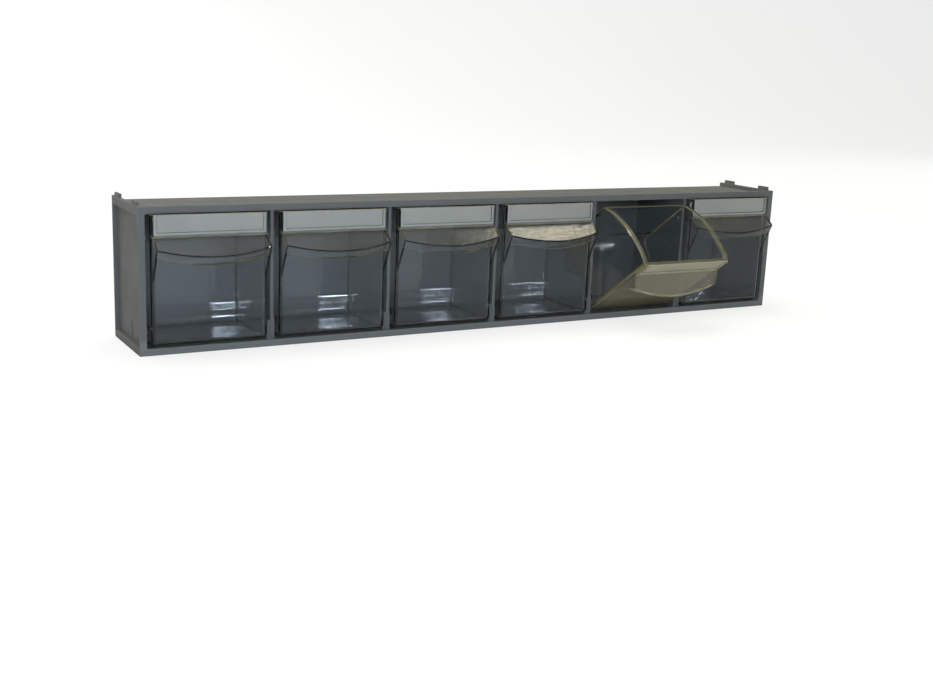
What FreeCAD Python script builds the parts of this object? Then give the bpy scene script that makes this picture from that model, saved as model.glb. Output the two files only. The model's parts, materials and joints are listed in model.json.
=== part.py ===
import FreeCAD, Part
import math
import os

# Six-compartment tilt-out bin cabinet.  Millimetres, +Z up, front faces -Y, width along X.
# Origin: centre of the cabinet's underside.  "d" below is depth behind the cabinet's front plane.

# ---- cabinet -------------------------------------------------------------
W = 600.0            # overall width
D = 73.0             # cabinet depth
H = 110.2            # height of the end panels
N_BINS = 6
SIDE = 5.2           # width of each side bar = thickness of an end panel
FLOOR = 5.2          # bottom panel thickness
TOP_LO = 104.9       # underside of the top panel and its front lip
TOP_HI = 106.7       # recessed upper surface of the top panel
LIP = 2.2            # thickness of the front lip on the top panel
BACK = 2.2           # back panel thickness
DIV_T = 2.6          # divider thickness
DIV_SET = 2.4        # set-back of the dividers behind the front plane
OPEN_W = (W - 2 * SIDE - (N_BINS - 1) * DIV_T) / N_BINS
PITCH = OPEN_W + DIV_T

# outer recess of the end panels
REC_X = 3.4          # recess depth
REC_D0, REC_D1 = 2.2, 71.4
REC_Z0, REC_Z1 = 5.6, 103.4
CREST = 3.0          # thickness of an end panel above the top surface
TAB_L, TAB_T, TAB_H = 12.5, 2.4, 3.0
TAB_D = (6.0, 53.7)  # where the two stacking tabs start
SOCKET_GAP = 0.3

# wall screw holes in the back panel
SCREW_R = 2.4
SCREW_Z = 90.0

# ---- pivot ---------------------------------------------------------------
PIV_D, PIV_Z = 7.5, 18.8
PIN_R = 2.4
PIN_CLEAR = 0.08
OPEN_DEG = 55.0
SEAT_T = 2.6         # pivot seat thickness, out of the divider's face
SEAT_D0, SEAT_D1, SEAT_TOP = 3.0, 13.2, 20.3
BOSS_T = 1.0         # the left pivot turns in a blind hole, through a thin boss
BOSS_TOP = 23.2
HOLE_DEEP = 2.3      # hole depth from the boss's face
PIN_TIP_R, PIN_TIP_L = 47.5, 49.05
FIL_TOP, FIL_LOW = 1.5, 1.0   # fillets where a divider meets the top and bottom panels
STOP_R = 2.2         # radius of the stop pegs on the cup and in the cabinet
STOP_ARM = 68.0      # distance of both pegs from the pivot
STOP_D = 65.9        # depth of the cup's peg when closed
STOP_GAP = 0.15

# ---- cup -----------------------------------------------------------------
CUP_HALF = 44.7
WALL = 2.0
CUP_FRONT = -1.8
CUP_BACK = 68.4
CUP_BASE = 5.5
CUP_TOP = 104.2
CUP_BACK_TOP = 73.6
HEEL_R = PIV_Z - CUP_BASE
BACK_R = 7.5
RIM_W, RIM_H = 3.4, 2.0          # thickened rim along the top of each side wall
SWELL_R, SWELL_H, SWELL_Z = 15.0, 0.8, 18.4   # low rounded swell across the inside of the back wall

# label holder
HOLD_HALF, HOLD_LO, HOLD_FACE = 43.6, 88.0, -3.8
CARD_HALF, CARD_LO, CARD_HI = 42.3, 89.4, 103.9
CARD_D0, CARD_D1 = -2.75, -2.25
POCKET_D0, POCKET_D1 = -2.95, -2.05
WIN_HALF, WIN_LO = 39.9, 91.7

# finger pull
PULL_HALF = 43.9
PULL_SLOPE = 54.0    # from vertical
PULL_E1, PULL_E2 = 12.0, 20.6
PULL_ROOT_Z = 87.2
SKIRT_H, SKIRT_LEAN = 7.4, 25.0
PULL_T = 1.8
FIN_FOOT_Z = 54.0

Y0 = -D / 2.0


def yd(d):
    return Y0 + d


def box(x0, x1, d0, d1, z0, z1):
    return Part.makeBox(x1 - x0, d1 - d0, z1 - z0, FreeCAD.Vector(x0, yd(d0), z0))


def v(x, d, z):
    return FreeCAD.Vector(x, yd(d), z)


def rod(x0, x1, d, z, r):
    return Part.makeCylinder(r, x1 - x0, v(x0, d, z), FreeCAD.Vector(1, 0, 0))


def prism(edges, x0, x1):
    face = Part.Face(Part.Wire(edges))
    return face.extrude(FreeCAD.Vector(x1 - x0, 0, 0))


def poly(points, x):
    pts = [v(x, d, z) for d, z in points]
    return Part.makePolygon(pts + [pts[0]])


def fillet_side_loops(solid, half, r, keep_below):
    # rounds the corners where the side walls meet the front, the heel, the floor and the back
    picked = []
    for e in solid.Edges:
        b = e.BoundBox
        if b.XLength < 1e-6 and abs(abs(b.XMin) - half) < 1e-6 and keep_below(b):
            picked.append(e)
    return solid.makeFillet(r, picked)


def write(name, shape):
    shape = shape.removeSplitter()
    if len(shape.Solids) == 1:
        shape = shape.Solids[0]
    shape.exportStep("parts/%s.step" % name)
    print(name, "valid", shape.isValid(), "solids", len(shape.Solids), "vol", round(shape.Volume, 1))


# ---- pivot seats and stop pegs on the cabinet's inner faces ---------------
arm_closed = math.asin((STOP_D - PIV_D) / STOP_ARM)
gap_angle = 2.0 * math.asin((2.0 * STOP_R + STOP_GAP) / (2.0 * STOP_ARM))
arm_peg = arm_closed - math.radians(OPEN_DEG) - gap_angle
PEG_D = PIV_D + STOP_ARM * math.sin(arm_peg)
PEG_Z = PIV_Z + STOP_ARM * math.cos(arm_peg)
CUP_PEG_Z = PIV_Z + STOP_ARM * math.cos(arm_closed)
print("cabinet stop peg at depth %.2f height %.2f; cup stop peg height %.2f" % (PEG_D, PEG_Z, CUP_PEG_Z))


def seat(x_face):
    # right pivot of a bin: open-topped seat growing towards -X from x_face
    block = box(x_face - SEAT_T, x_face, SEAT_D0, SEAT_D1, FLOOR, SEAT_TOP)
    top_edges = [
        e for e in block.Edges
        if abs(e.BoundBox.ZMin - SEAT_TOP) < 1e-6 and e.BoundBox.YLength < 1e-6 and e.BoundBox.ZLength < 1e-6
    ]
    block = block.makeFillet(1.2, top_edges)
    r = PIN_R + PIN_CLEAR
    slot = rod(x_face - SEAT_T - 1, x_face + 0.0, PIV_D, PIV_Z, r)
    slot = slot.fuse(box(x_face - SEAT_T - 1, x_face, PIV_D - r, PIV_D + r, PIV_Z, SEAT_TOP + 2))
    return block.cut(slot)


def socket(body, x_face):
    # left pivot of a bin: thin boss growing towards +X from x_face, with a blind hole into the wall behind it
    block = box(x_face, x_face + BOSS_T, SEAT_D0, SEAT_D1, FLOOR, BOSS_TOP)
    top_edges = [
        e for e in block.Edges
        if abs(e.BoundBox.ZMin - BOSS_TOP) < 1e-6 and e.BoundBox.YLength < 1e-6 and e.BoundBox.ZLength < 1e-6
    ]
    block = block.makeFillet(4.0, top_edges)
    hole = rod(x_face + BOSS_T - HOLE_DEEP, x_face + BOSS_T + 1, PIV_D, PIV_Z, PIN_R + PIN_CLEAR)
    return body.fuse(block).cut(hole)


def stop_peg(x_face, side):
    x0, x1 = (x_face, x_face + SEAT_T) if side > 0 else (x_face - SEAT_T, x_face)
    return rod(x0, x1, PEG_D, PEG_Z, STOP_R)


# ---- cabinet panels --------------------------------------------------------
def end_panel(sign):
    # built as the left panel, with its outer face at x = -W/2, and mirrored for the right
    xo = -W / 2.0
    body = box(xo, xo + SIDE, 0, D, 0, H)
    body = body.cut(box(xo + CREST, xo + SIDE + 1, LIP, D + 1, TOP_HI, H + 1))
    pocket = box(xo - 1, xo + REC_X, REC_D0, REC_D1, REC_Z0, REC_Z1)
    pocket_edges = [e for e in pocket.Edges if e.BoundBox.XLength > REC_X]
    pocket = pocket.makeFillet(1.5, pocket_edges)
    body = body.cut(pocket)
    # small moulded rib low on the outer face
    rib = box(xo + REC_X - 0.9, xo + REC_X + 0.2, 33.8, 35.9, 8.0, 20.4)
    body = body.fuse(rib)
    for d0 in TAB_D:
        tab = box(xo + 0.4, xo + 0.4 + TAB_T, d0, d0 + TAB_L, H - 0.5, H + TAB_H)
        edges = [e for e in tab.Edges if abs(e.BoundBox.ZMin - (H + TAB_H)) < 1e-6]
        tab = tab.makeFillet(0.5, edges)
        body = body.fuse(tab)
        g = SOCKET_GAP
        body = body.cut(box(xo + 0.4 - g, xo + 0.4 + TAB_T + g, d0 - g, d0 + TAB_L + g, -1, TAB_H + g))
    # rounded corners of the front opening
    for zc, z0 in ((FLOOR + 2.0, FLOOR), (TOP_LO - 2.0, TOP_LO - 2.0)):
        blk = box(xo + SIDE - 0.2, xo + SIDE + 2.0, 0, LIP, z0, z0 + 2.0)
        cyl = Part.makeCylinder(2.0, LIP + 2, FreeCAD.Vector(xo + SIDE + 2.0, yd(-1), zc), FreeCAD.Vector(0, 1, 0))
        body = body.fuse(blk.cut(cyl))
    if sign < 0:
        return socket(body, xo + SIDE).fuse(stop_peg(xo + SIDE, +1))
    body = body.mirror(FreeCAD.Vector(0, 0, 0), FreeCAD.Vector(1, 0, 0))
    return body.fuse(seat(-xo - SIDE)).fuse(stop_peg(-xo - SIDE, -1))


def top_panel():
    xi = W / 2.0 - SIDE
    return box(-xi, xi, LIP, D, TOP_LO, TOP_HI)


def front_lip():
    # upright bar along the front of the top panel, level with the end panels' crests
    xi = W / 2.0 - SIDE
    return box(-xi, xi, 0, LIP, TOP_LO, H)


def bottom_panel():
    xi = W / 2.0 - SIDE
    return box(-xi, xi, 0, D, 0, FLOOR)


def bin_x(k):
    return -W / 2.0 + SIDE + OPEN_W / 2.0 + (k - 1) * PITCH


def back_panel():
    xi = W / 2.0 - SIDE
    plate = box(-xi, xi, D - BACK, D, FLOOR, TOP_LO)
    for k in (1, N_BINS):
        hole = Part.makeCylinder(SCREW_R, BACK + 4, FreeCAD.Vector(bin_x(k), yd(D - BACK - 2), SCREW_Z), FreeCAD.Vector(0, 1, 0))
        plate = plate.cut(hole)
    return plate


def divider(i):
    xc = -W / 2.0 + SIDE + i * OPEN_W + (i - 0.5) * DIV_T
    x0, x1 = xc - DIV_T / 2.0, xc + DIV_T / 2.0
    body = box(x0, x1, DIV_SET, D - BACK, FLOOR, TOP_LO)
    for face, side in ((x0, -1), (x1, +1)):
        for r, z0, zc in ((FIL_TOP, TOP_LO - FIL_TOP, TOP_LO - FIL_TOP), (FIL_LOW, FLOOR, FLOOR + FIL_LOW)):
            xa, xb = (face, face + r) if side > 0 else (face - r, face)
            web = box(xa, xb, DIV_SET, D - BACK, z0, z0 + r)
            round_off = Part.makeCylinder(r, D, FreeCAD.Vector(face + side * r, yd(-1), zc), FreeCAD.Vector(0, 1, 0))
            body = body.fuse(web.cut(round_off))
        body = body.fuse(stop_peg(face, side))
    body = body.fuse(seat(x0))
    return socket(body, x1)


# ---- cup --------------------------------------------------------------------
def cup_closed():
    s = math.sqrt(HEEL_R ** 2 - (PIV_D - CUP_FRONT) ** 2)
    z_h = PIV_Z - s
    a = math.atan2(PIV_D - CUP_FRONT, s) / 2.0
    x0, x1 = -CUP_HALF, CUP_HALF

    def outer(x):
        p1, p2 = v(x, CUP_FRONT, CUP_TOP), v(x, CUP_FRONT, z_h)
        pm = v(x, PIV_D - HEEL_R * math.sin(a), PIV_Z - HEEL_R * math.cos(a))
        p3 = v(x, PIV_D, CUP_BASE)
        p4 = v(x, CUP_BACK - BACK_R, CUP_BASE)
        q = BACK_R * (1 - math.sqrt(0.5))
        p45 = v(x, CUP_BACK - q, CUP_BASE + q)
        p5, p6 = v(x, CUP_BACK, CUP_BASE + BACK_R), v(x, CUP_BACK, CUP_BACK_TOP)
        p7, p8 = v(x, 33.0, 97.4), v(x, 4.0, CUP_TOP)
        return [
            Part.makeLine(p1, p2), Part.Arc(p2, pm, p3).toShape(), Part.makeLine(p3, p4),
            Part.Arc(p4, p45, p5).toShape(), Part.makeLine(p5, p6), Part.Arc(p6, p7, p8).toShape(),
            Part.makeLine(p8, p1),
        ]

    def inner(x):
        ri = HEEL_R - WALL
        fi = CUP_FRONT + WALL
        si = math.sqrt(ri ** 2 - (PIV_D - fi) ** 2)
        ai = math.atan2(PIV_D - fi, si) / 2.0
        rb = BACK_R - WALL
        q = rb * (1 - math.sqrt(0.5))
        p1, p2 = v(x, fi, 130), v(x, fi, PIV_Z - si)
        pm = v(x, PIV_D - ri * math.sin(ai), PIV_Z - ri * math.cos(ai))
        p3, p4 = v(x, PIV_D, CUP_BASE + WALL), v(x, CUP_BACK - BACK_R, CUP_BASE + WALL)
        p45 = v(x, CUP_BACK - WALL - q, CUP_BASE + WALL + q)
        p5, p6 = v(x, CUP_BACK - WALL, CUP_BASE + BACK_R), v(x, CUP_BACK - WALL, 130)
        return [
            Part.makeLine(p1, p2), Part.Arc(p2, pm, p3).toShape(), Part.makeLine(p3, p4),
            Part.Arc(p4, p45, p5).toShape(), Part.makeLine(p5, p6), Part.makeLine(p6, p1),
        ]

    body = prism(outer(x0), x0, x1)
    corner = [e for e in body.Edges if e.BoundBox.XLength > 1 and abs(e.BoundBox.YMin - yd(CUP_FRONT)) < 1e-6
              and abs(e.BoundBox.ZMin - z_h) < 1e-3]
    body = body.makeFillet(4.0, corner)
    body = fillet_side_loops(
        body, CUP_HALF, 2.6,
        lambda b: not (b.ZMin > CUP_BACK_TOP - 1e-3),
    )
    hollow = prism(inner(x0 + WALL), x0 + WALL, x1 - WALL)
    corner = [e for e in hollow.Edges if e.BoundBox.XLength > 1 and abs(e.BoundBox.YMin - yd(CUP_FRONT + WALL)) < 1e-6
              and e.BoundBox.ZMax < 60]
    hollow = hollow.makeFillet(3.0, corner)
    hollow = fillet_side_loops(hollow, CUP_HALF - WALL, 1.4, lambda b: not (b.ZMin > 125))
    body = body.cut(hollow)

    # thickened rims: the band just under the arched top of each side wall
    pa, pb, pc = (CUP_BACK, CUP_BACK_TOP), (33.0, 97.4), (4.0, CUP_TOP)
    arc = Part.Arc(v(0, *pa), v(0, *pb), v(0, *pc)).toShape().Curve
    c, rad = arc.Center, arc.Radius
    for s in (-1, 1):
        xa, xb = (CUP_HALF - RIM_W, CUP_HALF - WALL + 0.3) if s > 0 else (-CUP_HALF + WALL - 0.3, -CUP_HALF + RIM_W)
        band = prism(outer(xa), xa, xb)
        band = band.cut(Part.makeCylinder(rad - RIM_H, xb - xa + 2, FreeCAD.Vector(xa - 1, c.y, c.z), FreeCAD.Vector(1, 0, 0)))
        band = band.common(box(xa - 1, xb + 1, CUP_FRONT + 0.5, CUP_BACK - 0.5, CUP_BACK_TOP - 4.0, CUP_TOP + 1))
        band = band.common(prism(inner(xa - 1), xa - 1, xb + 1).fuse(box(xa - 1, xb + 1, 0.0, CUP_BACK - 0.5, CUP_BACK_TOP - 4.0, CUP_TOP + 1)))
        parts = sorted(band.Solids, key=lambda q: q.Volume)
        body = body.fuse(parts[-1])
    # low swell across the inside of the back wall
    face = CUP_BACK - WALL
    roll = Part.makeCylinder(SWELL_R, 2 * (CUP_HALF - WALL + 0.5),
                             v(-(CUP_HALF - WALL + 0.5), face - SWELL_H + SWELL_R, SWELL_Z), FreeCAD.Vector(1, 0, 0))
    roll = roll.common(box(-CUP_HALF + WALL - 0.5, CUP_HALF - WALL + 0.5, face - 2, face + 0.8, CUP_BASE + 1, 60))
    body = body.fuse(roll)

    # label holder: a raised pad with a slot for the card, open at the top and windowed at the front
    pad = box(-HOLD_HALF, HOLD_HALF, HOLD_FACE, CUP_FRONT + 0.5, HOLD_LO, CUP_TOP)
    edges = [e for e in pad.Edges if e.BoundBox.ZLength > 10 and e.BoundBox.YMin < yd(HOLD_FACE) + 1e-6]
    pad = pad.makeFillet(0.9, edges)

    # finger pull: sloping shelf with a bowed edge, a skirt and two end fins
    sl, ln = math.radians(PULL_SLOPE), math.radians(SKIRT_LEAN)
    root = CUP_FRONT + 0.6

    def section(sx):
        e = PULL_E1 + (PULL_E2 - PULL_E1) * (1 - sx * sx)
        bd, bz = HOLD_FACE - e * math.sin(sl), PULL_ROOT_Z - e * math.cos(sl)
        up = (math.sin(sl), math.cos(sl))
        az = bz + (root - bd) / math.tan(sl)
        c = 0.9
        b1 = (bd + c * up[0], bz + c * up[1])
        b2 = (bd + c * math.sin(ln), bz - c * math.cos(ln))
        cd, cz = bd + SKIRT_H * math.sin(ln), bz - SKIRT_H * math.cos(ln)
        dd, dz = cd + PULL_T * math.cos(ln), cz + PULL_T * math.sin(ln)
        # underside of the shelf, offset by the thickness
        fd, fz = bd + PULL_T * math.cos(sl), bz - PULL_T * math.sin(sl)
        # intersection of the shelf's underside with the skirt's inner face
        ux, uz = up
        wx, wz = -math.sin(ln), math.cos(ln)
        den = ux * (-wz) - (-wx) * uz
        rx, rz = dd - fd, dz - fz
        t = (rx * (-wz) - (-wx) * rz) / den
        ed, ez = fd + t * ux, fz + t * uz
        rootz = ez + (root - ed) / math.tan(sl)
        return [(root, az), b1, b2, (cd, cz), (dd, dz), (ed, ez), (root, rootz)]

    wires = []
    n = 8
    for i in range(n + 1):
        sx = -1 + 2.0 * i / n
        wires.append(poly(section(sx), sx * PULL_HALF))
    pull = Part.makeLoft(wires, True, False)
    end = section(1.0)
    fins = []
    for xa, xb in ((-PULL_HALF, -PULL_HALF + PULL_T), (PULL_HALF - PULL_T, PULL_HALF)):
        A, B1, B2, C = [v(xa, *p) for p in end[:4]]
        foot = v(xa, root, FIN_FOOT_Z)
        mid = v(xa, -5.6, 64.6)
        fins.append(prism(
            [Part.makeLine(A, B1), Part.makeLine(B1, B2), Part.makeLine(B2, C), Part.Arc(C, mid, foot).toShape(), Part.makeLine(foot, A)],
            xa, xb))
    body = body.fuse([pad, pull] + fins)

    pocket = box(-CARD_HALF - 0.2, CARD_HALF + 0.2, POCKET_D0, POCKET_D1, CARD_LO - 0.1, CUP_TOP + 5)
    win_in = Part.makePolygon([v(-WIN_HALF, POCKET_D0 + 0.1, WIN_LO), v(WIN_HALF, POCKET_D0 + 0.1, WIN_LO),
                               v(WIN_HALF, POCKET_D0 + 0.1, CUP_TOP + 5), v(-WIN_HALF, POCKET_D0 + 0.1, CUP_TOP + 5),
                               v(-WIN_HALF, POCKET_D0 + 0.1, WIN_LO)])
    g = 0.7
    win_out = Part.makePolygon([v(-WIN_HALF - g, HOLD_FACE - 0.1, WIN_LO - g), v(WIN_HALF + g, HOLD_FACE - 0.1, WIN_LO - g),
                                v(WIN_HALF + g, HOLD_FACE - 0.1, CUP_TOP + 5), v(-WIN_HALF - g, HOLD_FACE - 0.1, CUP_TOP + 5),
                                v(-WIN_HALF - g, HOLD_FACE - 0.1, WIN_LO - g)])
    window = Part.makeLoft([win_in, win_out], True, True)
    body = body.cut(pocket).cut(window)

    # pivot pins and stop pegs moulded on the side walls
    out = CUP_HALF - 0.6
    adds = []
    for s in (-1, 1):
        pin_tip = PIN_TIP_R if s > 0 else PIN_TIP_L
        for d, z, r, tip in ((PIV_D, PIV_Z, PIN_R, pin_tip), (STOP_D, CUP_PEG_Z, STOP_R, 47.3)):
            xa, xb = (out, tip) if s > 0 else (-tip, -out)
            c = rod(xa, xb, d, z, r)
            tipx = xb if s > 0 else xa
            rim = [e for e in c.Edges if e.BoundBox.XLength < 1e-6 and abs(e.BoundBox.XMin - tipx) < 1e-6]
            adds.append(c.makeFillet(0.5, rim))
    body = body.fuse(adds)
    return body


def card_closed():
    return box(-CARD_HALF, CARD_HALF, CARD_D0, CARD_D1, CARD_LO, CARD_HI)


def main():
    os.makedirs("parts", exist_ok=True)
    write("end_panel_left", end_panel(-1))
    write("end_panel_right", end_panel(+1))
    write("top_panel", top_panel())
    write("front_lip", front_lip())
    write("bottom_panel", bottom_panel())
    write("back_panel", back_panel())
    for i in range(1, N_BINS):
        write("divider_%d" % i, divider(i))
    cup, card = cup_closed(), card_closed()
    for k in range(1, N_BINS + 1):
        for name, shape in (("cup_%d" % k, cup), ("label_card_%d" % k, card)):
            s = shape.copy()
            if k == 5:   # this cup rests tipped open
                s.rotate(FreeCAD.Vector(0, yd(PIV_D), PIV_Z), FreeCAD.Vector(1, 0, 0), OPEN_DEG)
            s.translate(FreeCAD.Vector(bin_x(k), 0, 0))
            write(name, s)


main()
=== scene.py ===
import bpy, bmesh, json, math
from mathutils import Vector, Matrix
from mathutils.bvhtree import BVHTree

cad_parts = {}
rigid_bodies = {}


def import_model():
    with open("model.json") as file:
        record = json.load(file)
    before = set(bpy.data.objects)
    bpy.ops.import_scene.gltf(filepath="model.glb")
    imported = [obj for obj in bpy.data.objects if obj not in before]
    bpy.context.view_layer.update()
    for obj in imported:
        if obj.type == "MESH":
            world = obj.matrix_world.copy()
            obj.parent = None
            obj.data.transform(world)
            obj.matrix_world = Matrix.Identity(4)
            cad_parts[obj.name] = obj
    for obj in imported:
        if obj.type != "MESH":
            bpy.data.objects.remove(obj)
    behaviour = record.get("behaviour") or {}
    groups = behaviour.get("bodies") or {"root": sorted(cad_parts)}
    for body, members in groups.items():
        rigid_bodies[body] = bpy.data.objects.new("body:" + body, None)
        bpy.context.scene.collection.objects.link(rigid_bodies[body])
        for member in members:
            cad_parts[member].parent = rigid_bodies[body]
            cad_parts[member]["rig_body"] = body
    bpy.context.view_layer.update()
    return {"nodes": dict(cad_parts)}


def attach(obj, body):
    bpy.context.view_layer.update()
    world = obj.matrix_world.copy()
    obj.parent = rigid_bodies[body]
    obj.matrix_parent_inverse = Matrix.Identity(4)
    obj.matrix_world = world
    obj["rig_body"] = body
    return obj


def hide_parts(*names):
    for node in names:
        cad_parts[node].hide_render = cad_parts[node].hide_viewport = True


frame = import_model()
NODES = frame["nodes"]
scene = bpy.context.scene
scene.view_settings.view_transform = "Standard"
scene.view_settings.look = "None"

# ---------------------------------------------------------------- camera
AZ, EL, ROLL, F_PX = math.radians(29.71), math.radians(13.47), math.radians(2.32), 1254.2
cam_at = Vector((-0.5337, -0.9271, 0.2283))
d = Vector((math.sin(AZ) * math.cos(EL), math.cos(AZ) * math.cos(EL), -math.sin(EL)))
r = Vector((math.cos(AZ), -math.sin(AZ), 0.0))
u = r.cross(d)
right = math.cos(ROLL) * r + math.sin(ROLL) * u
up = -math.sin(ROLL) * r + math.cos(ROLL) * u
cam_data = bpy.data.cameras.new("camera")
cam_data.sensor_fit = "HORIZONTAL"
cam_data.sensor_width = 36.0
cam_data.lens = F_PX / 933.0 * 36.0
cam_data.clip_start = 0.02
cam_data.clip_end = 50
cam = bpy.data.objects.new("camera", cam_data)
scene.collection.objects.link(cam)
m = Matrix((
    (right.x, up.x, -d.x, cam_at.x),
    (right.y, up.y, -d.y, cam_at.y),
    (right.z, up.z, -d.z, cam_at.z),
    (0, 0, 0, 1)))
cam.matrix_world = m
scene.camera = cam


# ---------------------------------------------------------------- material helpers
class Mat:
    def __init__(self, name):
        self.m = bpy.data.materials.new(name)
        self.m.use_nodes = True
        self.nt = self.m.node_tree
        self.nt.nodes.clear()
        self.out = self.node("ShaderNodeOutputMaterial")
        self.coord = self.node("ShaderNodeTexCoord")

    def node(self, kind, **props):
        n = self.nt.nodes.new(kind)
        for k, val in props.items():
            setattr(n, k, val)
        return n

    def link(self, a, b):
        self.nt.links.new(a, b)

    def mapped(self, scale=(1, 1, 1), rot=(0, 0, 0)):
        n = self.node("ShaderNodeMapping")
        n.inputs["Scale"].default_value = scale
        n.inputs["Rotation"].default_value = rot
        self.link(self.coord.outputs["Object"], n.inputs["Vector"])
        return n.outputs["Vector"]

    def noise(self, scale, detail=4.0, rough=0.55, vec=None, distortion=0.0):
        n = self.node("ShaderNodeTexNoise")
        n.inputs["Scale"].default_value = scale
        n.inputs["Detail"].default_value = detail
        n.inputs["Roughness"].default_value = rough
        n.inputs["Distortion"].default_value = distortion
        self.link(vec or self.coord.outputs["Object"], n.inputs["Vector"])
        return n.outputs["Fac"]

    def ramp(self, fac, stops):
        n = self.node("ShaderNodeValToRGB")
        el = n.color_ramp.elements
        while len(el) < len(stops):
            el.new(0.5)
        for e, (pos, col) in zip(el, stops):
            e.position = pos
            e.color = col if len(col) == 4 else (*col, 1.0)
        self.link(fac, n.inputs["Fac"])
        return n.outputs["Color"]

    def remap(self, val, a, b, c, d2):
        n = self.node("ShaderNodeMapRange")
        n.inputs["From Min"].default_value = a
        n.inputs["From Max"].default_value = b
        n.inputs["To Min"].default_value = c
        n.inputs["To Max"].default_value = d2
        self.link(val, n.inputs["Value"])
        return n.outputs["Result"]

    def math(self, op, a, b=None, clamp=False):
        n = self.node("ShaderNodeMath", operation=op, use_clamp=clamp)
        for sock, val in ((n.inputs[0], a), (n.inputs[1], b)):
            if val is None:
                continue
            if isinstance(val, (int, float)):
                sock.default_value = val
            else:
                self.link(val, sock)
        return n.outputs[0]

    def mix(self, fac, a, b, blend="MIX"):
        n = self.node("ShaderNodeMix", data_type="RGBA", blend_type=blend)
        for sock, val in ((n.inputs[0], fac), (n.inputs[6], a), (n.inputs[7], b)):
            if isinstance(val, (int, float)):
                sock.default_value = val
            elif isinstance(val, tuple):
                sock.default_value = val if len(val) == 4 else (*val, 1.0)
            else:
                self.link(val, sock)
        return n.outputs[2]

    def bump(self, height, strength, dist, normal=None):
        n = self.node("ShaderNodeBump")
        n.inputs["Strength"].default_value = strength
        n.inputs["Distance"].default_value = dist
        self.link(height, n.inputs["Height"])
        if normal is not None:
            self.link(normal, n.inputs["Normal"])
        return n.outputs["Normal"]


def cabinet_material(name, painted_shade_floor=False, painted_lift=(1.0, 1.0, 1.0)):
    t = Mat(name)
    p = t.node("ShaderNodeBsdfPrincipled")
    cloud = t.noise(7.0, 3.0, 0.5)
    flow = t.noise(30.0, 5.0, 0.6, vec=t.mapped((0.30, 1.0, 1.7)))
    fine = t.noise(1100.0, 3.0, 0.6)
    grain = t.noise(3200.0, 2.0, 0.5)
    shade = lambda c: tuple(round(a * b, 4) for a, b in zip(c, painted_lift))
    tone = t.ramp(cloud, [(0.25, shade((0.106, 0.109, 0.113))), (0.75, shade((0.121, 0.123, 0.124)))])
    tone = t.mix(t.remap(flow, 0.35, 0.75, 0.0, 0.30), tone, shade((0.134, 0.132, 0.125)))
    tone = t.mix(t.remap(fine, 0.3, 0.7, 0.0, 0.10), tone, (0.084, 0.085, 0.087))
    # painted light: the front of the bottom bar is painted paler, standing in for light bounced up from the floor
    xyz = t.node("ShaderNodeSeparateXYZ")
    t.link(t.coord.outputs["Object"], xyz.inputs[0])
    floor_bounce_band = t.math("MULTIPLY", t.remap(xyz.outputs["Y"], -0.0352, -0.0362, 0.0, 1.0), t.remap(xyz.outputs["Z"], 0.0125, 0.0105, 0.0, 1.0))
    tone = t.mix(t.math("MULTIPLY", floor_bounce_band, t.remap(flow, 0.3, 0.7, 0.36, 0.52)), tone, (0.215, 0.217, 0.215))
    if painted_shade_floor:
        # painted shade: the floor under the bins is painted darker, where light from above doesn't reach
        deep = t.math("MULTIPLY", t.remap(xyz.outputs["Y"], -0.0345, -0.0315, 0.0, 1.0), t.remap(xyz.outputs["Z"], 0.0015, 0.0025, 0.0, 1.0))
        tone = t.mix(t.math("MULTIPLY", deep, t.remap(cloud, 0.3, 0.7, 0.55, 0.80)), tone, (0.040, 0.041, 0.042))
    # handling wear along the exposed corners, together with a painted highlight on the bevelled edges
    wear_and_sheen = t.node("ShaderNodeAttribute", attribute_name="edge_wear_and_sheen")
    patch = t.remap(t.noise(95.0, 4.0, 0.6), 0.42, 0.62, 0.20, 0.95)
    worn_and_sheen = t.math("MULTIPLY", wear_and_sheen.outputs["Fac"], patch, clamp=True)
    tone = t.mix(t.math("MULTIPLY", worn_and_sheen, 0.60), tone, (0.205, 0.206, 0.204))
    # fine handling scratches
    scratch = t.noise(260.0, 2.0, 0.5, vec=t.mapped((0.12, 1.0, 2.6), (0.3, 0.2, 0.5)), distortion=0.6)
    line = t.remap(t.math("ABSOLUTE", t.math("SUBTRACT", scratch, 0.5)), 0.0, 0.012, 1.0, 0.0)
    line = t.math("MULTIPLY", line, t.remap(t.noise(18.0, 2.0, 0.5), 0.52, 0.66, 0.0, 0.5), clamp=True)
    tone = t.mix(line, tone, (0.160, 0.161, 0.161))
    t.link(tone, p.inputs["Base Color"])
    rough = t.remap(t.noise(55.0, 5.0, 0.6), 0.3, 0.7, 0.34, 0.48)
    rough = t.math("SUBTRACT", rough, t.math("MULTIPLY", worn_and_sheen, 0.10))
    t.link(rough, p.inputs["Roughness"])
    p.inputs["IOR"].default_value = 1.5
    n1 = t.bump(grain, 0.12, 0.0002)
    n2 = t.bump(fine, 0.10, 0.0004, n1)
    n3 = t.bump(cloud, 0.05, 0.004, n2)
    t.link(n3, p.inputs["Normal"])
    t.link(p.outputs["BSDF"], t.out.inputs["Surface"])
    return t.m


def shadow_clear(t, shader, tint):
    # lamps reach the contents through the clear plastic
    clear = t.node("ShaderNodeBsdfTransparent")
    clear.inputs["Color"].default_value = (*tint, 1)
    lp = t.node("ShaderNodeLightPath")
    fac = t.math("MAXIMUM", lp.outputs["Is Shadow Ray"], lp.outputs["Is Diffuse Ray"])
    mix = t.node("ShaderNodeMixShader")
    t.link(fac, mix.inputs[0])
    t.link(shader, mix.inputs[1])
    t.link(clear.outputs["BSDF"], mix.inputs[2])
    t.link(mix.outputs["Shader"], t.out.inputs["Surface"])


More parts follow.
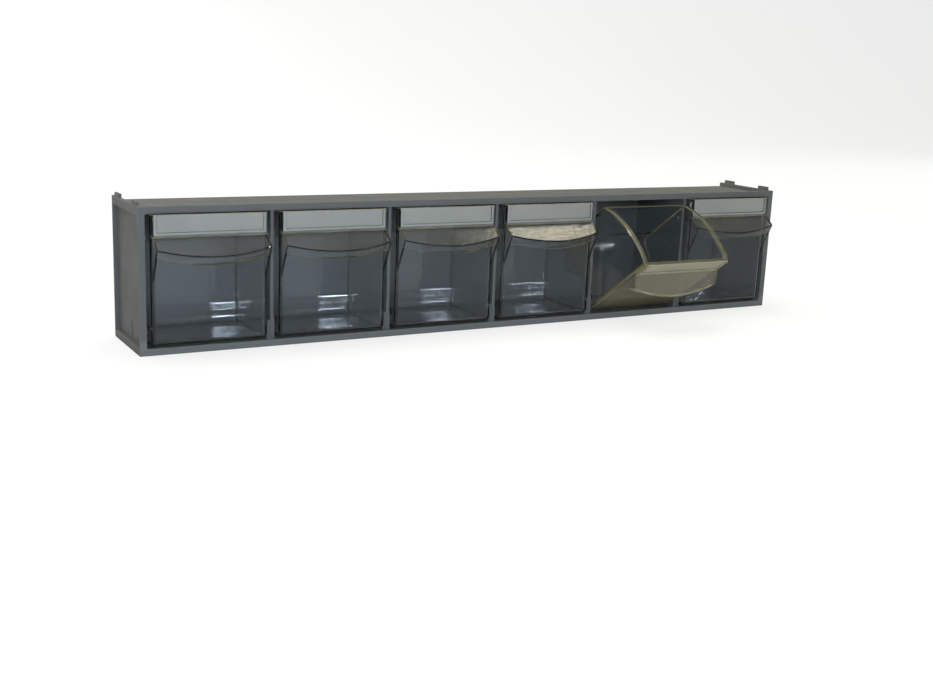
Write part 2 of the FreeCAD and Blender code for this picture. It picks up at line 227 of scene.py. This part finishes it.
def cup_material(name, mottled_and_shaded=False, polished=False):
    t = Mat(name)
    p = t.node("ShaderNodeBsdfPrincipled")
    haze = t.noise(14.0, 3.0, 0.5)
    # the pull's shelf takes a darker tint than the rest of the clear plastic: painted shade
    tone = ((0.84, 0.85, 0.86), (0.88, 0.88, 0.88)) if mottled_and_shaded else ((0.945, 0.955, 0.962), (0.965, 0.970, 0.970))
    t.link(t.ramp(haze, [(0.3, tone[0]), (0.7, tone[1])]), p.inputs["Base Color"])
    p.inputs["Transmission Weight"].default_value = 1.0
    p.inputs["IOR"].default_value = 1.57
    scuff = t.noise(45.0, 6.0, 0.65, distortion=0.4)
    fine = t.noise(420.0, 2.0, 0.5, vec=t.mapped((0.10, 1.0, 2.2), (0.4, 0.1, 0.7)), distortion=0.5)
    line = t.remap(t.math("ABSOLUTE", t.math("SUBTRACT", fine, 0.5)), 0.0, 0.010, 0.10, 0.0)
    rough = t.math("ADD", t.remap(scuff, 0.35, 0.75, 0.008, 0.035), line)
    t.link(rough, p.inputs["Roughness"])
    wave = t.noise(15.0, 2.0, 0.4)
    normal = t.bump(wave, 0.16, 0.0014)
    if mottled_and_shaded:
        # the shelf of the pull is slightly uneven
        normal = t.bump(t.noise(330.0, 4.0, 0.6, vec=t.mapped((0.45, 1.0, 1.0)), distortion=0.8), 0.62, 0.00022, normal)
    t.link(normal, p.inputs["Normal"])
    if polished:
        # the inside keeps the polish of the mould
        p.inputs["Coat Weight"].default_value = 1.0
        p.inputs["Coat IOR"].default_value = 1.8
        p.inputs["Coat Roughness"].default_value = 0.07
        t.link(normal, p.inputs["Coat Normal"])
    shadow_clear(t, p.outputs["BSDF"], (0.86, 0.87, 0.87))
    return t.m


def rim_material(name, low, mid, high, clearness, rough=(0.12, 0.30)):
    # cut edges gather light from the walls: warm olive, brighter in streaks
    t = Mat(name)
    p = t.node("ShaderNodeBsdfPrincipled")
    streak = t.noise(60.0, 4.0, 0.6)
    col = t.ramp(streak, [(0.30, low), (0.55, mid), (0.78, high)])
    t.link(col, p.inputs["Base Color"])
    p.inputs["Transmission Weight"].default_value = clearness
    p.inputs["IOR"].default_value = 1.57
    t.link(t.remap(t.noise(150.0, 3.0, 0.6), 0.3, 0.7, *rough), p.inputs["Roughness"])
    t.link(t.bump(t.noise(240.0, 3.0, 0.5), 0.2, 0.0004), p.inputs["Normal"])
    shadow_clear(t, p.outputs["BSDF"], (0.62, 0.60, 0.45))
    return t.m


def reflection_film_material(name, clearness):
    # painted reflection: the open bin's front wall and pull carry an olive-grey film over clear plastic, standing in
    # for the warm surroundings reflected in them
    t = Mat(name)
    p = t.node("ShaderNodeBsdfPrincipled")
    painted_reflection_noise = t.noise(22.0, 5.0, 0.6)
    t.link(t.ramp(painted_reflection_noise, [(0.3, (0.72, 0.65, 0.47)), (0.7, (0.80, 0.73, 0.55))]), p.inputs["Base Color"])
    p.inputs["Transmission Weight"].default_value = clearness
    p.inputs["IOR"].default_value = 1.57
    t.link(t.remap(t.noise(70.0, 5.0, 0.6), 0.3, 0.7, 0.04, 0.12), p.inputs["Roughness"])
    t.link(t.bump(t.noise(90.0, 4.0, 0.6), 0.12, 0.0004), p.inputs["Normal"])
    shadow_clear(t, p.outputs["BSDF"], (0.78, 0.77, 0.70))
    return t.m


def corner_material(name, low, high, clearness):
    # rounded corners see a longer way through the plastic, so its olive cast shows
    t = Mat(name)
    p = t.node("ShaderNodeBsdfPrincipled")
    t.link(t.ramp(t.noise(40.0, 4.0, 0.6), [(0.3, low), (0.7, high)]), p.inputs["Base Color"])
    p.inputs["Transmission Weight"].default_value = clearness
    p.inputs["IOR"].default_value = 1.57
    t.link(t.remap(t.noise(120.0, 3.0, 0.6), 0.3, 0.7, 0.05, 0.16), p.inputs["Roughness"])
    t.link(t.bump(t.noise(150.0, 3.0, 0.5), 0.15, 0.0004), p.inputs["Normal"])
    shadow_clear(t, p.outputs["BSDF"], (0.76, 0.75, 0.64))
    return t.m


def frame_material(name, low, high):
    # front of the label holder: faintly frosted by handling
    t = Mat(name)
    p = t.node("ShaderNodeBsdfPrincipled")
    haze = t.noise(60.0, 5.0, 0.6)
    t.link(t.ramp(haze, [(0.3, low), (0.7, high)]), p.inputs["Base Color"])
    p.inputs["Transmission Weight"].default_value = 0.90
    p.inputs["IOR"].default_value = 1.57
    t.link(t.remap(haze, 0.3, 0.7, 0.08, 0.18), p.inputs["Roughness"])
    t.link(t.bump(t.noise(180.0, 3.0, 0.5), 0.10, 0.0003), p.inputs["Normal"])
    shadow_clear(t, p.outputs["BSDF"], (0.88, 0.89, 0.89))
    return t.m


def card_material(name, low, high, fleck):
    t = Mat(name)
    p = t.node("ShaderNodeBsdfPrincipled")
    fib = t.noise(700.0, 6.0, 0.7, vec=t.mapped((1.0, 1.0, 2.2)))
    cloud = t.noise(24.0, 3.0, 0.5)
    col = t.ramp(cloud, [(0.3, low), (0.7, high)])
    col = t.mix(t.remap(fib, 0.35, 0.7, 0.0, 0.25), col, fleck)
    t.link(col, p.inputs["Base Color"])
    t.link(t.remap(fib, 0.3, 0.7, 0.62, 0.78), p.inputs["Roughness"])
    t.link(t.bump(fib, 0.25, 0.0002), p.inputs["Normal"])
    t.link(p.outputs["BSDF"], t.out.inputs["Surface"])
    return t.m


grey, grey_floor = cabinet_material("cabinet_grey_plastic"), cabinet_material("cabinet_grey_floor", True)
# painted light: the back panel takes a paler, bluer copy of the same grey plastic
grey_back = cabinet_material("cabinet_grey_back", painted_lift=(1.26, 1.28, 1.32))
clear = cup_material("clear_cup_plastic")
inner_wall = cup_material("clear_cup_inside", polished=True)
rim = rim_material("clear_cup_rim", (0.105, 0.095, 0.055), (0.155, 0.140, 0.085), (0.28, 0.255, 0.16), 0.55)
rim_edge = rim_material("clear_cup_edge", (0.36, 0.34, 0.20), (0.50, 0.475, 0.30), (0.68, 0.645, 0.43), 0.40)
root_edge = rim_material("clear_cup_root", (0.20, 0.18, 0.10), (0.34, 0.31, 0.18), (0.52, 0.47, 0.29), 0.45, (0.42, 0.60))
frost = frame_material("clear_cup_frame", (0.80, 0.82, 0.83), (0.88, 0.89, 0.90))
card = card_material("label_card_paper", (0.282, 0.277, 0.264), (0.320, 0.313, 0.296), (0.242, 0.238, 0.230))
# painted light: the open bin's card is painted warmer than the others, standing in for warm light falling on it
card_open = card_material("label_card_paper_yellowed", (0.345, 0.322, 0.262), (0.395, 0.366, 0.296), (0.295, 0.275, 0.225))
# painted light: the open bin's label frame is tinted warm, standing in for warm light on it
frost_open = frame_material("clear_cup_frame_open", (0.93, 0.88, 0.70), (1.0, 0.95, 0.78))
pull_top = cup_material("clear_cup_pull", mottled_and_shaded=True)
reflection_film = reflection_film_material("clear_cup_film", 0.955)
reflection_film_pull = reflection_film_material("clear_cup_film_pull", 0.935)
corner = corner_material("clear_cup_corner", (0.34, 0.33, 0.22), (0.52, 0.51, 0.38), 1.0)
corner_lit = corner_material("clear_cup_corner_lit", (0.42, 0.39, 0.20), (0.62, 0.59, 0.38), 0.80)


# ---------------------------------------------------------------- pieces
MM = 0.001
BINS = {k: (-246.75 + 98.7 * (k - 1)) for k in range(1, 7)}
HINGE = (-29.0, 18.8)      # y, z of every pivot axis, mm
TIPPED = {5: 55.0}
ROOT = 87.35               # height of the line where the pull leaves the label holder, mm


def solid_tree(ob):
    bm = bmesh.new()
    bm.from_mesh(ob.data)
    bmesh.ops.triangulate(bm, faces=bm.faces)
    tree = BVHTree.FromBMesh(bm)
    bm.free()
    return tree


def inside(tree, p):
    votes = 0
    for dirn in (Vector((0.9, 0.31, 0.29)), Vector((-0.33, 0.88, 0.34)), Vector((0.27, -0.36, 0.89))):
        dirn.normalize()
        at, hits = p.copy(), 0
        while hits < 60:
            loc = tree.ray_cast(at, dirn)[0]
            if loc is None:
                break
            hits += 1
            at = loc + dirn * 1e-6
        votes += hits % 2
    return votes >= 2


def refined(node, name, width, segments, angle, others=(), classify=None, mats=(), split=None):
    """A copy of a CAD node with every exposed sharp edge rounded; seams against its neighbours stay tight."""
    src = NODES[node]
    bm = bmesh.new()
    bm.from_mesh(src.data)
    bmesh.ops.remove_doubles(bm, verts=bm.verts, dist=2e-6)
    bmesh.ops.dissolve_limit(bm, angle_limit=math.radians(0.4), verts=bm.verts, edges=bm.edges)
    bm.normal_update()
    if split:
        split(bm)
        bm.normal_update()
    wear_and_sheen = bm.loops.layers.float_color.new("edge_wear_and_sheen")
    picked = []
    for e in bm.edges:
        if not e.is_manifold or not e.is_convex or e.calc_face_angle() < math.radians(angle):
            continue
        n1, n2 = e.link_faces[0].normal, e.link_faces[1].normal
        mid = (e.verts[0].co + e.verts[1].co) / 2
        eps = 0.00012
        if any(inside(t, mid + eps * n1 - eps * n2) or inside(t, mid + eps * n2 - eps * n1) for t in others):
            continue
        picked.append(e)
    made = bmesh.ops.bevel(bm, geom=picked, offset=width * MM, offset_type="OFFSET", segments=segments,
                           profile=0.5, affect="EDGES", clamp_overlap=False, material=-1, loop_slide=True)
    new = set(made["faces"])
    lo = [min(v.co[i] for v in src.data.vertices) for i in range(3)]
    hi = [max(v.co[i] for v in src.data.vertices) for i in range(3)]
    for v in bm.verts:
        for i in range(3):
            v.co[i] = min(max(v.co[i], lo[i]), hi[i])
    bm.normal_update()
    for f in bm.faces:
        f.smooth = True
        f.material_index = classify(f, f in new) if classify else 0
        w = 1.0 if f in new else 0.0
        for lp in f.loops:
            lp[wear_and_sheen] = (w, w, w, 1.0)
    for e in bm.edges:
        if e.is_manifold:
            limit = 58.0 if (e.link_faces[0] in new or e.link_faces[1] in new) else 28.0
            e.smooth = e.calc_face_angle() < math.radians(limit)
    me = bpy.data.meshes.new(name)
    bm.to_mesh(me)
    bm.free()
    for mt in mats:
        me.materials.append(mt)
    ob = bpy.data.objects.new(name, me)
    scene.collection.objects.link(ob)
    wn = ob.modifiers.new("even_normals", "WEIGHTED_NORMAL")
    wn.mode = "FACE_AREA"
    wn.weight = 50
    wn.keep_sharp = True
    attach(ob, src["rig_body"])
    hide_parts(node)
    return ob


CABINET = [n for n in NODES if not n.startswith(("cup_", "label_card_"))]
trees = {n: solid_tree(NODES[n]) for n in CABINET}
for n in CABINET:
    ob = refined(n, "moulded_" + n, 0.35, 2, 35, [trees[m] for m in CABINET if m != n],
                 mats=({"bottom_panel": grey_floor, "back_panel": grey_back}.get(n, grey),))


def rim_arc():
    # circle through the three points that shape the top of the side walls (depth, height)
    (x1, y1), (x2, y2), (x3, y3) = (68.4, 73.6), (33.0, 97.4), (4.0, 104.2)
    dd = 2 * (x1 * (y2 - y3) + x2 * (y3 - y1) + x3 * (y1 - y2))
    ux = ((x1**2 + y1**2) * (y2 - y3) + (x2**2 + y2**2) * (y3 - y1) + (x3**2 + y3**2) * (y1 - y2)) / dd
    uy = ((x1**2 + y1**2) * (x3 - x2) + (x2**2 + y2**2) * (x1 - x3) + (x3**2 + y3**2) * (x2 - x1)) / dd
    return ux, uy, math.hypot(x1 - ux, y1 - uy)


ARC = rim_arc()


def cup_faces(k):
    bx, a = BINS[k], math.radians(TIPPED.get(k, 0.0))
    ca, sa = math.cos(a), math.sin(a)

    def local(v):
        y, z = v.y * 1000 - HINGE[0], v.z * 1000 - HINGE[1]
        return v.x * 1000 - bx, y * ca + z * sa + 7.5, -y * sa + z * ca + 18.8

    def kind(f, new):
        x, dep, hgt = local(f.calc_center_median())
        n = f.normal
        nd, nz = n.y * ca + n.z * sa, -n.y * sa + n.z * ca
        rad = math.hypot(dep - ARC[0], hgt - ARC[1])
        out = (nd * (dep - ARC[0]) + nz * (hgt - ARC[1])) / rad
        # top of the side walls, and of the front wall
        if hgt > 70 and 0.3 < dep < 68.6 and abs(rad - ARC[2]) < 0.35:
            if new and out > 0.25:
                return 5
            if abs(n.x) < 0.3 and out > 0.8:
                return 1
        if hgt > 103.95 and nz > 0.2:
            return 5 if new else 1
        # root of the pull, just under the label, and the upper ends of the pull
        if ROOT - 0.02 < hgt < 89.5 and dep < -1.9 and nz > 0.5 and nd < -0.3:
            return 8
        if new and abs(x) > 43.0 and 79.0 < hgt < 88.0 and dep < -3.9 and nz > 0.2:
            return 5
        if new and 87.4 < hgt < 88.7 and dep < -3.2:
            return 8
        # lower edge of the pull, and the bead just above it
        if edge and dep < -4.0 and hgt < 84 and not new and abs(n.x) < 0.6:
            up = (dep - edge[0]) * -edge[2] + (hgt - edge[1]) * -edge[3]
            if abs(nd * edge[2] + nz * edge[3]) < 0.75 and up < 2.3:
                return (2 if up < 1.1 else 1) if k not in TIPPED else (5 if up < 0.8 else 1)
        if dep < -4.0 and nz < -0.85 and nd > 0.2 and hgt < 80:
            return 5 if k in TIPPED else 1
        # window edges and front of the label holder
        if hgt > 91.0 and -3.75 < dep < -2.85 and abs(x) < 41.0 and (abs(n.x) > 0.3 or nz > 0.3):
            return 2
        if hgt > 88.0 and dep < -3.6 and nd < -0.95:
            return 3
        if 0.25 < abs(n.x) < 0.97 and n.x * x < 0 and 40.5 < abs(x) < 42.8 and dep > -1.9:
            return 2
        if k in TIPPED and 0.25 < abs(n.x) < 0.97 and n.x * x > 0 and abs(x) > 43.0 and dep > 60:
            return 2
        # inner faces: the back wall with its swell, the floor and the side walls
        if 66.0 < dep < 66.8 and hgt > 22.4 and nd < -0.99:
            return 4
        if abs(x) < 42.75 and 2.0 < dep < 67.0 and 7.0 < hgt < 103 and (n.x * x < -0.5 * abs(x) or (abs(n.x) < 0.2 and hgt < 30 and (0.1 < nz < 0.85 or (nz < 0.85 and nd < -0.1)))):
            return 4
        if hgt > 87 and dep < -1.9 and abs(n.x) > 0.6 and abs(x) > 43.0:
            return 2
        # rounded corners, the ends and outline of the pull
        if new and 50 < hgt < 88 and dep < -3.9 and (k in TIPPED or abs(x) > 42.5 or nz < -0.2):
            return 5 if k in TIPPED else 2
        if dep < -1.9 and 50 < hgt < 78 and abs(n.x) < 0.3 and 42.1 < abs(x) < 43.95 and nd < -0.3:
            return 2
        # shelf of the pull, then its skirt and the front wall
        if dep < -4.0 and nz > 0.7 and nd < -0.4:
            return 6
        if k in TIPPED and -2.1 < dep < 0.4 and 18 < hgt < 104 and abs(nd) > 0.5:
            return 7
        return 0

    edge = []

    def split(bm):
        low = [f for f in bm.faces if local(f.calc_center_median())[1] < -4.0 and local(f.calc_center_median())[2] < 80
               and -f.normal.y * sa + f.normal.z * ca < -0.85 and f.normal.y * ca + f.normal.z * sa > 0.2]
        if low:
            f0 = max(low, key=lambda f: f.calc_area())
            n0, c0 = f0.normal.copy(), f0.calc_center_median()
            x0, dep0, hgt0 = local(c0)
            edge.extend((dep0, hgt0, n0.y * ca + n0.z * sa, -n0.y * sa + n0.z * ca))
            for up in (1.1, 2.3):
                near = [f for f in bm.faces if local(f.calc_center_median())[1] < -3.0 and local(f.calc_center_median())[2] < 88
                        and abs(f.normal.dot(n0)) < 0.75]
                geom = list({v for f in near for v in f.verts}) + list({e for f in near for e in f.edges}) + near
                bmesh.ops.bisect_plane(bm, geom=geom, plane_co=c0 - n0 * up * MM, plane_no=n0)
        band = [f for f in bm.faces if local(f.calc_center_median())[1] < -4.0
                and f.normal.y * ca + f.normal.z * sa < -0.3 and -f.normal.y * sa + f.normal.z * ca > 0.5]
        geom = list({v for f in band for v in f.verts}) + list({e for f in band for e in f.edges}) + band
        if geom:
            at = Vector((bx, HINGE[0] - 7.5 * ca - (ROOT - 18.8) * sa, HINGE[1] - 7.5 * sa + (ROOT - 18.8) * ca)) * MM
            bmesh.ops.bisect_plane(bm, geom=geom, plane_co=at, plane_no=Vector((0, -sa, ca)))

    return kind, split


for k in BINS:
    kind, split = cup_faces(k)
    ob = refined("cup_%d" % k, "clear_cup_%d" % k, 0.22, 2, 35, classify=kind, mats=(clear, rim, corner_lit if k in TIPPED else corner, frost_open if k in TIPPED else frost, clear if k in TIPPED else inner_wall, rim_edge, reflection_film_pull if k in TIPPED else pull_top, reflection_film, root_edge), split=split)
    ob = refined("label_card_%d" % k, "paper_label_%d" % k, 0.08, 1, 35, mats=(card_open if k in TIPPED else card,))

# ---------------------------------------------------------------- stage
def cyclorama():
    t = Mat("stage_white")
    c = t.ramp(t.noise(1.3, 3.0, 0.5), [(0.3, (0.80, 0.83, 0.90)), (0.7, (0.83, 0.86, 0.93))])
    seen_d = t.node("ShaderNodeBsdfDiffuse")
    t.link(c, seen_d.inputs["Color"])
    glow = t.node("ShaderNodeEmission")
    glow.inputs["Color"].default_value = (1.0, 1.0, 1.0, 1)
    seen = t.node("ShaderNodeMixShader")
    seen.inputs[0].default_value = 0.72
    t.link(seen_d.outputs["BSDF"], seen.inputs[1])
    t.link(glow.outputs["Emission"], seen.inputs[2])
    dim = t.node("ShaderNodeBsdfDiffuse")
    dim.inputs["Color"].default_value = (0.22, 0.25, 0.31, 1)
    bounce = t.node("ShaderNodeBsdfDiffuse")
    bounce.inputs["Color"].default_value = (0.62, 0.64, 0.66, 1)
    lp = t.node("ShaderNodeLightPath")
    lit = t.node("ShaderNodeMixShader")
    t.link(lp.outputs["Is Diffuse Ray"], lit.inputs[0])
    t.link(dim.outputs["BSDF"], lit.inputs[1])
    t.link(bounce.outputs["BSDF"], lit.inputs[2])
    mix = t.node("ShaderNodeMixShader")
    # the floor is as white through the clear plastic as beside it
    direct = t.math("LESS_THAN", t.math("ADD", lp.outputs["Glossy Depth"], lp.outputs["Diffuse Depth"]), 0.5)
    t.link(t.math("MULTIPLY", direct, t.math("SUBTRACT", 1.0, lp.outputs["Is Shadow Ray"])), mix.inputs[0])
    t.link(lit.outputs["Shader"], mix.inputs[1])
    t.link(seen.outputs["Shader"], mix.inputs[2])
    t.link(mix.outputs["Shader"], t.out.inputs["Surface"])
    bm = bmesh.new()
    prof = [(-7.0, 0.0), (1.6, 0.0)]
    R = 1.2
    for i in range(1, 17):
        a = math.pi / 2 * i / 16
        prof.append((1.6 + R * math.sin(a), R - R * math.cos(a)))
    prof.append((2.8, 4.5))
    rows = []
    for y, z in prof:
        rows.append([bm.verts.new((x, y, z)) for x in (-7.0, 7.0)])
    for a, b in zip(rows, rows[1:]):
        bm.faces.new((a[0], a[1], b[1], b[0]))
    me = bpy.data.meshes.new("stage_floor")
    bm.to_mesh(me)
    bm.free()
    for pl in me.polygons:
        pl.use_smooth = True
    ob = bpy.data.objects.new("stage_floor", me)
    scene.collection.objects.link(ob)
    me.materials.append(t.m)
    return ob


cyclorama()


def area(name, at, target, size, power, color, gloss=True):
    ld = bpy.data.lights.new(name, "AREA")
    ld.shape = "RECTANGLE"
    ld.size, ld.size_y = size
    ld.energy = power
    ld.color = color
    ob = bpy.data.objects.new(name, ld)
    scene.collection.objects.link(ob)
    at, target = Vector(at), Vector(target)
    ob.rotation_euler = (target - at).to_track_quat("-Z", "Y").to_euler()
    ob.location = at
    ob.visible_glossy = gloss
    ob.visible_transmission = gloss
    return ob


area("overhead_soft", (-0.2, 0.55, 2.6), (0, 0, 0), (2.8, 2.0), 74, (1.0, 0.95, 0.80), gloss=False)
area("left_warm", (-2.3, 0.2, 1.2), (0, 0, 0.05), (1.0, 1.0), 7.5, (1.0, 0.76, 0.38), gloss=False)
area("right_top_warm", (1.4, -0.5, 1.7), (0.15, 0, 0.08), (0.6, 0.6), 6.5, (1.0, 0.78, 0.36), gloss=False)
area("front_fill", (0.5, -1.6, 0.45), (0.12, 0, 0.05), (0.8, 0.5), 3.1, (0.76, 0.88, 1.0), gloss=False)
flash = area("camera_flash", cam_at + 0.10 * up + 0.016 * right - 0.02 * d, (0.0, -0.04, 0.05), (0.032, 0.16), 0.90, (0.66, 0.82, 1.0))
area("camera_fill", cam_at + 0.10 * up + 0.016 * right - 0.02 * d, (0.0, -0.04, 0.05), (0.16, 0.16), 4.7, (0.62, 0.80, 1.0), gloss=False)
area("back_fill", (-0.4, 2.3, 0.5), (0.0, 0.0, 0.05), (1.6, 0.5), 22.0, (1.0, 0.96, 0.87), gloss=False)
area("right_fill", (2.4, 0.55, 0.5), (0.30, 0.0, 0.05), (0.8, 0.6), 6.0, (0.96, 0.98, 1.0), gloss=False)
area("side_glint", (1.088, -1.18, 0.604), (0.17, 0.01, 0.056), (0.022, 0.10), 0.42, (0.86, 0.93, 1.0))
area("warm_lamp", (1.50, 0.33, 2.30), (0.05, -0.04, 0.08), (0.28, 0.30), 1.05, (1.0, 0.91, 0.68))
# the open cup's flat walls would turn the flash into one milky patch, so the flash passes it by
skipped = bpy.data.collections.new("flash_skips")
for k in TIPPED:
    skipped.objects.link(bpy.data.objects["clear_cup_%d" % k])
for member in skipped.collection_objects:
    member.light_linking.link_state = "EXCLUDE"
flash.light_linking.receiver_collection = skipped

# let the small flash show as bright glints inside the clear walls
scene.cycles.sample_clamp_indirect = 300.0

world = bpy.data.worlds.new("studio")
scene.world = world
world.use_nodes = True
wn, wl = world.node_tree.nodes, world.node_tree.links
bg = wn["Background"]
tc = wn.new("ShaderNodeTexCoord")
sep = wn.new("ShaderNodeSeparateXYZ")
wl.new(tc.outputs["Generated"], sep.inputs[0])
mr = wn.new("ShaderNodeMapRange")
mr.inputs["From Min"].default_value = -0.1
mr.inputs["From Max"].default_value = 1.0
wl.new(sep.outputs["Z"], mr.inputs["Value"])
rampn = wn.new("ShaderNodeValToRGB")
e = rampn.color_ramp.elements
e[0].position, e[0].color = 0.05, (0.10, 0.115, 0.14, 1)
e[1].position, e[1].color = 1.0, (0.37, 0.345, 0.26, 1)
wl.new(mr.outputs["Result"], rampn.inputs["Fac"])
wmix = wn.new("ShaderNodeMix")
wmix.data_type = "RGBA"
lp = wn.new("ShaderNodeLightPath")
deep = wn.new("ShaderNodeMath")
deep.operation = "ADD"
wl.new(lp.outputs["Glossy Depth"], deep.inputs[0])
wl.new(lp.outputs["Diffuse Depth"], deep.inputs[1])
direct = wn.new("ShaderNodeMath")
direct.operation = "LESS_THAN"
direct.inputs[1].default_value = 0.5
wl.new(deep.outputs[0], direct.inputs[0])
wl.new(direct.outputs[0], wmix.inputs[0])
wl.new(rampn.outputs["Color"], wmix.inputs[6])
wmix.inputs[7].default_value = (1.0, 1.0, 1.0, 1)
wl.new(wmix.outputs[2], bg.inputs["Color"])
bg.inputs["Strength"].default_value = 1.0
